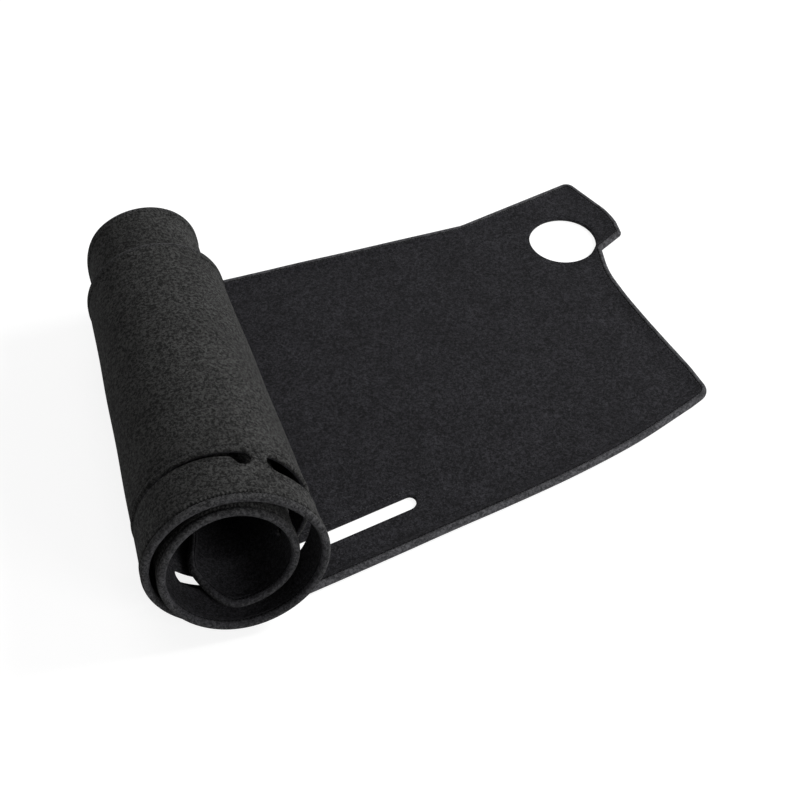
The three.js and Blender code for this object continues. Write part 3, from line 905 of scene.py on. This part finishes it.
def mix_colour(tree, factor, a, b, blend="MIX"):
    """A Mix node for colours."""
    made = tree.nodes.new("ShaderNodeMix")
    made.data_type, made.blend_type = "RGBA", blend
    connect(tree, made.inputs[0], factor)
    connect(tree, made.inputs[6], a)
    connect(tree, made.inputs[7], b)
    return Value(tree, made.outputs[2])


def new_material(name, roughness, sheen=0.0):
    """A material with a Principled shader that has little gloss and some sheen, as fibres do."""
    material = bpy.data.materials.new(name)
    material.use_nodes = True
    tree = material.node_tree
    shader = tree.nodes["Principled BSDF"]
    shader.inputs["Roughness"].default_value = roughness
    shader.inputs["Specular IOR Level"].default_value = 0.15
    shader.inputs["Sheen Weight"].default_value = sheen
    shader.inputs["Sheen Roughness"].default_value = 0.55
    return material, tree, shader


# %% [markdown]
# ## Felt
#
# Black felt is not one black. Its fibres catch the light as fine light specks on a darker ground, and its
# underside is coarser and lighter than its face. Three layers of noise do this: single fibre ends, small
# tufts, and slow patches. The hem's nose is lighter, partly because the fold opens the pile and partly as a
# painted highlight, strongest on the flat part, whose front band the lamps light. The sewn grooves of the
# hem and round the slots are darkened with painted shade.

# %% Felt material
FACE_DARK = (0.0060, 0.0060, 0.0070, 1)
FACE_LIGHT = (0.0370, 0.0362, 0.0415, 1)
UNDER_DARK = (0.0082, 0.0082, 0.0081, 1)
UNDER_LIGHT = (0.0590, 0.0590, 0.0578, 1)
# The nose colours are the opened pile's lighter tone with a painted highlight on top.
NOSE_PILE_AND_HIGHLIGHT_DARK = (0.0290, 0.0290, 0.0312, 1)
NOSE_PILE_AND_HIGHLIGHT_LIGHT = (0.0960, 0.0950, 0.1020, 1)
# Painted shade: the colour that darkens the sewn groove, where the crease lies in shade.
GROOVE_PAINTED_SHADE = (0.002, 0.002, 0.0022, 1)

felt, tree, shader = new_material("black_felt", 0.95, 0.025)
where = add_node(tree, "ShaderNodeTexCoord", out=3)
attribute = {name: add_node(tree, "ShaderNodeAttribute", {"attribute_name": name}, 2)
             for name in ("inset", "slot", "under", "edge_run", "pattern_u", "cabin")}


def noise(scale, detail=2.0, rough=0.6, distortion=0.0):
    """Noise on Object coordinates: scale is in lumps for each metre."""
    return add_node(tree, "ShaderNodeTexNoise", None, 0, Vector=where, Scale=scale, Detail=detail,
                    Roughness=rough, Distortion=distortion)


fibre = noise(760, 2.0, 0.7, 0.4)
tuft = noise(330, 2.0, 0.6, 0.6)
patch = noise(22, 3.0, 0.6)
grain = (fibre * 0.55 + tuft * 0.45).step(0.40, 0.66)
coarse = (fibre * 0.4 + tuft * 0.6).step(0.40, 0.62)
side = attribute["under"].step(0.35, 0.65)

face_colour = mix_colour(tree, grain, FACE_DARK, FACE_LIGHT)
under_colour = mix_colour(tree, coarse, UNDER_DARK, UNDER_LIGHT)
colour = mix_colour(tree, side, face_colour, under_colour)
# Painted highlight on the hem's nose, over the lighter opened pile. It is raised on the flat part, whose
# front band the lamps light.
nose_pile_and_highlight_mask = (1 - attribute["inset"].step(5.0, 6.2)) * (attribute["pattern_u"].step(0.0, 60.0) * 0.65 + 0.35)
nose_pile_and_painted_highlight = mix_colour(tree, nose_pile_and_highlight_mask, colour, mix_colour(tree, coarse, NOSE_PILE_AND_HIGHLIGHT_DARK, NOSE_PILE_AND_HIGHLIGHT_LIGHT))
# Painted shade in the sewn grooves: along the hem, fainter on the cabin edge's underside, and round the slots
# on the underside.
hem_groove_painted_shade = attribute["inset"].bell(STITCH_INSET, GROOVE_WIDTH) * (1 - attribute["cabin"] * side * 0.75)
groove = hem_groove_painted_shade + attribute["slot"].bell(LIP_STITCH, LIP_GROOVE_WIDTH) * side * 0.8
slow = patch.step(0.3, 0.7) * 0.22 + 0.89
shaded = mix_colour(tree, (groove * 0.85).clamp(), nose_pile_and_painted_highlight, GROOVE_PAINTED_SHADE)
slow_grey = add_node(tree, "ShaderNodeCombineColor", None, 0, Red=slow, Green=slow, Blue=slow)
final_colour = mix_colour(tree, 1.0, shaded, slow_grey, "MULTIPLY")
tree.links.new(final_colour.socket, shader.inputs["Base Color"])

pucker = (attribute["edge_run"] * (2 * math.pi / STITCH_PITCH)).math("SINE")
pucker = pucker * attribute["inset"].bell(8.2, 1.6) * 0.5
height = fibre * 0.55 + tuft * (0.75 + side * 0.5) + pucker * side
bumped = add_node(tree, "ShaderNodeBump", None, 0, Strength=0.85, Distance=0.0011, Height=height)
tree.links.new(bumped.socket, shader.inputs["Normal"])
felt_sheet.data.materials.append(felt)
print("felt material nodes", len(tree.nodes))

# %% Thread material
THREAD_DARK = (0.012, 0.012, 0.013, 1)
THREAD_LIGHT = (0.055, 0.055, 0.058, 1)
thread_black, thread_tree, thread_shader = new_material("polyester_thread", 0.55, 0.0)
thread_shader.inputs["Specular IOR Level"].default_value = 0.4
thread_where = add_node(thread_tree, "ShaderNodeTexCoord", out=3)
ply = add_node(thread_tree, "ShaderNodeTexWave", {"wave_type": "BANDS", "bands_direction": "DIAGONAL"}, 0,
               Vector=thread_where, Scale=1400.0, Distortion=1.0)
twist = mix_colour(thread_tree, ply, THREAD_DARK, THREAD_LIGHT)
thread_tree.links.new(twist.socket, thread_shader.inputs["Base Color"])
for thread in threads:
    thread.data.materials.append(thread_black)

# %% Ride on the root body
END_PIECE_AREA = 0.0375
FLAT_WIDTH = (TAB_EDGE[0][0] - float(sheet_length(np.array(INNER_END_U)))) * MM
FLAT_AREA = float(np.trapz(back_edge(ROWS) - front_edge(ROWS), sheet_length(ROWS))) * MM * MM + END_PIECE_AREA
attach(felt_sheet, "root")
for thread in threads:
    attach(thread, "root")
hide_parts("mat")

# %% [markdown]
# ## Floor and light
#
# A white floor that the camera sees as plain white, but that still takes the mat's soft shadow, and large
# soft lamps: one high on the right that rakes over the roll, and weaker ones that fill the rest.

# %% Studio
FLOOR_HALF = 6.0
FLOOR_COLOUR = (0.86, 0.86, 0.86, 1)
GLOW_STRENGTH = 1.4
GLOW_SHARE = 0.6
WORLD_STRENGTH = 0.17

floor_corners = [(-FLOOR_HALF, -FLOOR_HALF, 0), (FLOOR_HALF, -FLOOR_HALF, 0), (FLOOR_HALF, FLOOR_HALF, 0),
                 (-FLOOR_HALF, FLOOR_HALF, 0)]
floor_mesh = bpy.data.meshes.new("studio_floor")
floor_mesh.from_pydata(floor_corners, [], [(0, 1, 2, 3)])
studio_floor = bpy.data.objects.new("studio_floor", floor_mesh)
bpy.context.scene.collection.objects.link(studio_floor)
studio_floor.location.z = -0.0004

floor_material = bpy.data.materials.new("studio_white")
floor_material.use_nodes = True
floor_shader = floor_material.node_tree.nodes["Principled BSDF"]
floor_shader.inputs["Base Color"].default_value = FLOOR_COLOUR
floor_shader.inputs["Roughness"].default_value = 1.0
floor_shader.inputs["Specular IOR Level"].default_value = 0.0
floor_mesh.materials.append(floor_material)
floor_tree = floor_material.node_tree
glow = add_node(floor_tree, "ShaderNodeEmission", Strength=GLOW_STRENGTH)
seen = add_node(floor_tree, "ShaderNodeLightPath", None, "Is Camera Ray")
blend = add_node(floor_tree, "ShaderNodeMixShader", Fac=seen * GLOW_SHARE)
both = blend.socket.node.inputs
floor_tree.links.new(floor_shader.outputs[0], both[1])
connect(floor_tree, both[2], glow)
floor_tree.links.new(blend.socket, floor_tree.nodes["Material Output"].inputs["Surface"])

world = bpy.data.worlds.new("studio")
bpy.context.scene.world = world
world.use_nodes = True
world_tree = world.node_tree
backdrop = world_tree.nodes["Background"]
backdrop.inputs["Color"].default_value = (1, 1, 1, 1)
camera_ray = add_node(world_tree, "ShaderNodeLightPath", None, "Is Camera Ray")
brightness = add_node(world_tree, "ShaderNodeMix", {"data_type": "FLOAT"}, 0,
                      Factor=camera_ray, A=WORLD_STRENGTH, B=1.0)
connect(world_tree, backdrop.inputs["Strength"], brightness)


def soft_lamp(name, place_m, target, size, power):
    """A square area lamp that faces a target. Its backward direction is from the target to the lamp."""
    data_block = bpy.data.lights.new(name, "AREA")
    data_block.size, data_block.energy = size, power
    lamp = bpy.data.objects.new(name, data_block)
    bpy.context.scene.collection.objects.link(lamp)
    lamp.location = place_m
    lamp.rotation_euler = (Vector(place_m) - Vector(target)).to_track_quat("Z", "Y").to_euler()
    return lamp


soft_lamp("key_right", (2.3, 0.1, 2.0), (0, 0, 0.05), 1.0, 64)
soft_lamp("fill_front", (1.2, -2.1, 0.9), (0, 0, 0.05), 1.0, 25)
soft_lamp("fill_top", (-0.2, 0.5, 2.6), (0, 0, 0), 1.6, 12)
bpy.context.scene.view_settings.view_transform = "Standard"
print("lamps", [lamp.name for lamp in bpy.data.lights])
